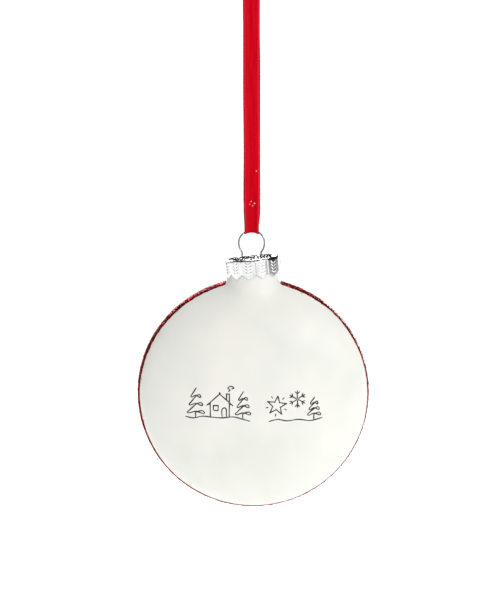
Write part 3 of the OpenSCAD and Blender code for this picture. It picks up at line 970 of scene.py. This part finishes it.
# %% Make the wire
wire_steel, wire_shader = new_material("drawn_spring_steel_wire", Metallic=1.0)
wire_where = add(wire_steel, "ShaderNodeTexCoord")
wire_grey = add(wire_steel, "ShaderNodeTexNoise", [(wire_where.outputs["Object"], "Vector")],
                {"Scale": 500.0, "Detail": 3.0})
# The steel's colour is set to a mid grey, darker than bare steel: a painted dark reflection of the
# surroundings the wire mirrors.
steel_greys_painted_reflection = add(wire_steel, "ShaderNodeValToRGB", [(wire_grey.outputs["Fac"], "Fac")])
set_ramp(steel_greys_painted_reflection, [(0.3, "#77777A"), (0.7, "#9C9C9F")])
join(wire_steel, steel_greys_painted_reflection.outputs["Color"], wire_shader, "Base Color")
wire_polish = add(wire_steel, "ShaderNodeMapRange", [(wire_grey.outputs["Fac"], "Value")],
                  {"To Min": 0.12, "To Max": 0.26})
join(wire_steel, wire_polish.outputs["Result"], wire_shader, "Roughness")
wire_points, wire_faces = swept(wire_line, wire_radii, 20, (0, 1, 0))
hanger = make_piece("sprung_wire_hanger", wire_points, wire_faces, wire_steel, "hanger")
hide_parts("hanger_wire")

# %% [markdown]
# ## Stitches in the lap
#
# The ribbon's two ends overlap for 8 mm and are sewn with two short rows. A stitch is a bit of
# thread that comes up out of the pile and goes back into it, so each one is a small arch whose ends
# are sunk in the velvet. The ribbon has also picked up a few stray flakes, caught flat in the pile
# above the ring, and they are coloured pale pink as a painted glint.

lap_rows = (-105.0, -99.0)
back_y = np.interp(lap_rows, [-109, -104, -98], [1.2, 1.4, 1.7])
stitch_points, stitch_faces = [], []
thread_r = 0.15
for row_z, y in zip(lap_rows, back_y):
    for x in (-2.25, -0.75, 0.75, 2.25):
        t = np.linspace(-1, 1, 11)
        arch = np.stack([x + 0.55 * t, y + 0.86 + 0.2 * np.cos(t * 1.4) - 0.25 * t ** 4,
                         row_z + 0.06 * np.sin(3 * t + x)], axis=1)
        tube, faces = swept(arch, thread_r, 10, (0, 0, 1))
        stitch_faces += [tuple(i + len(stitch_points) for i in f) for f in faces]
        stitch_points += tube.tolist()
stitches = make_piece("lap_stitches", stitch_points, stitch_faces, thread, "ribbon")
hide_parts("ribbon_stitching")

speck_points = []
for x, z, angle in ((-0.9, -106.6, 0.3), (0.4, -107.2, 0.9), (-0.2, -105.4, 0.1), (1.3, -106.2, 0.6),
                    (2.1, -92.3, 0.4), (-2.3, -97.0, 0.8)):
    y = -np.interp(z, [-109, -98, -90], [1.2, 1.7, 2.1]) - 0.33
    speck_points += [(x + 0.24 * math.cos(angle + k * math.pi / 3), y - 0.05 * math.cos(k),
                      z + 0.24 * math.sin(angle + k * math.pi / 3)) for k in range(6)]
# The stray flakes are coloured pale pink to white: a painted glint, the light a flake's glossy top throws
# back.
painted_glint_film, film_shader = new_material("stray_flake_painted_glint", Roughness=0.25, Metallic=0.3)
film_where = add(painted_glint_film, "ShaderNodeTexCoord")
film_tone = add(painted_glint_film, "ShaderNodeTexNoise", [(film_where.outputs["Object"], "Vector")],
                {"Scale": 900.0})
painted_glint_pinks = add(painted_glint_film, "ShaderNodeValToRGB", [(film_tone.outputs["Fac"], "Fac")])
set_ramp(painted_glint_pinks, [(0.35, "#F0A0A6"), (0.65, "#FFE6E6")])
join(painted_glint_film, painted_glint_pinks.outputs["Color"], film_shader, "Base Color")
specks = make_piece("stray_flakes", speck_points, np.arange(len(speck_points)).reshape(-1, 6),
                    painted_glint_film, "ribbon")
specks.data.shade_flat()

# %% [markdown]
# ## Floor and light
#
# The ornament hangs in a white tent, above a wide pale floor. White all round is right for the soft
# shading of the pearl, but it would leave the silver cap with nothing to reflect. In a studio, dark
# cards hang out of sight for that. Here the world is plain white, and lights matt surfaces a little
# more from the right, except to mirror-like reflections: those see a dark ceiling, a dark card at the
# right and a dark half behind the ornament, and the stamped relief gets its dark lines from them. A
# large soft lamp at the right lights the front, and smaller lamps behind put sparks in the glitter.

# %% Make the floor
plaster, plaster_shader = new_material("pale_painted_floor", Roughness=0.9, Specular_IOR_Level=0.0)
plaster_where = add(plaster, "ShaderNodeTexCoord")
roller = add(plaster, "ShaderNodeTexNoise", [(plaster_where.outputs["Object"], "Vector")],
             {"Scale": 40.0, "Detail": 3.0})
paint = add(plaster, "ShaderNodeValToRGB", [(roller.outputs["Fac"], "Fac")])
set_ramp(paint, [(0.3, "#FAFAF9"), (0.7, "#FDFDFC")])
join(plaster, paint.outputs["Color"], plaster_shader, "Base Color")
floor_mesh = bpy.data.meshes.new("floor")
floor_mesh.from_pydata([(x, y, -0.45) for x, y in ((-9, -9), (9, -9), (9, 9), (-9, 9))], [],
                       [(0, 1, 2, 3)])
floor_mesh.materials.append(plaster)
floor = bpy.data.objects.new("floor", floor_mesh)
bpy.context.scene.collection.objects.link(floor)

# %% Make the world: plain white, with dark cards for reflections only
world = bpy.data.worlds.new("studio")
bpy.context.scene.world = world
world.use_nodes = True
tree = world.node_tree
sky_way = tree.nodes.new("ShaderNodeTexCoord")
parts = tree.nodes.new("ShaderNodeSeparateXYZ")
tree.links.new(sky_way.outputs["Generated"], parts.inputs["Vector"])
seen = None
for axis, stops in (("Z", [(0.5, "#F2F4F1"), (0.66, "#E6E6E6"), (0.78, "#505050"), (1.0, "#2C2C2C")]),
                    ("Y", [(0.5, "#FFFFFF"), (0.6, "#343434"), (0.94, "#2A2A2A"), (1.0, "#C8C8C8")]),
                    ("X", [(0.86, "#FFFFFF"), (0.93, "#303030")])):
    from_low_end = tree.nodes.new("ShaderNodeMapRange")
    from_low_end.inputs["From Min"].default_value = -1.0
    tree.links.new(parts.outputs[axis], from_low_end.inputs["Value"])
    ramp = tree.nodes.new("ShaderNodeValToRGB")
    set_ramp(ramp, stops)
    tree.links.new(from_low_end.outputs["Result"], ramp.inputs["Fac"])
    if seen is None:
        seen = ramp.outputs["Color"]
        continue
    times = tree.nodes.new("ShaderNodeMix")
    times.data_type = "RGBA"
    times.blend_type = "MULTIPLY"
    times.inputs[0].default_value = 1.0
    tree.links.new(seen, times.inputs[6])
    tree.links.new(ramp.outputs["Color"], times.inputs[7])
    seen = times.outputs[2]
studio = tree.nodes["Background"]
studio.inputs["Strength"].default_value = 1.0
tree.links.new(seen, studio.inputs["Color"])
backdrop = tree.nodes.new("ShaderNodeBackground")
backdrop.inputs["Color"].default_value = (1, 1, 1, 1)
from_the_right = tree.nodes.new("ShaderNodeMapRange")
for socket, value in (("From Min", -1.0), ("From Max", 1.0), ("To Min", 0.68), ("To Max", 1.5)):
    from_the_right.inputs[socket].default_value = value
tree.links.new(parts.outputs["X"], from_the_right.inputs["Value"])
ray = tree.nodes.new("ShaderNodeLightPath")
tent_light = tree.nodes.new("ShaderNodeMix")
tent_light.inputs[2].default_value = 1.07
tree.links.new(ray.outputs["Is Diffuse Ray"], tent_light.inputs[0])
tree.links.new(from_the_right.outputs["Result"], tent_light.inputs[3])
tree.links.new(tent_light.outputs[0], backdrop.inputs["Strength"])
choose = tree.nodes.new("ShaderNodeMixShader")
tree.links.new(ray.outputs["Is Glossy Ray"], choose.inputs[0])
tree.links.new(backdrop.outputs["Background"], choose.inputs[1])
tree.links.new(studio.outputs["Background"], choose.inputs[2])
tree.links.new(choose.outputs[0], tree.nodes["World Output"].inputs["Surface"])

# %% Hang the lamps
def soft_lamp(name, place, size, watts, aim=looks_at):
    lamp = bpy.data.lights.new(name, "AREA")
    lamp.shape = "DISK"
    lamp.size = size
    lamp.energy = watts
    holder = bpy.data.objects.new(name, lamp)
    holder.location = place
    holder.rotation_euler = (Vector(aim) - Vector(place)).to_track_quat("-Z", "Y").to_euler()
    bpy.context.scene.collection.objects.link(holder)


soft_lamp("key", (0.75, -0.75, 0.25), 0.8, 2.6)
soft_lamp("back_left", (-0.4, 1.3, 0.25), 0.5, 9.0)
soft_lamp("back_right", (0.45, 1.3, -0.1), 0.4, 8.0)
soft_lamp("back_top", (0.0, 0.9, 0.6), 0.3, 4.0)
bpy.context.scene.view_settings.view_transform = "Standard"
print("studio is ready")
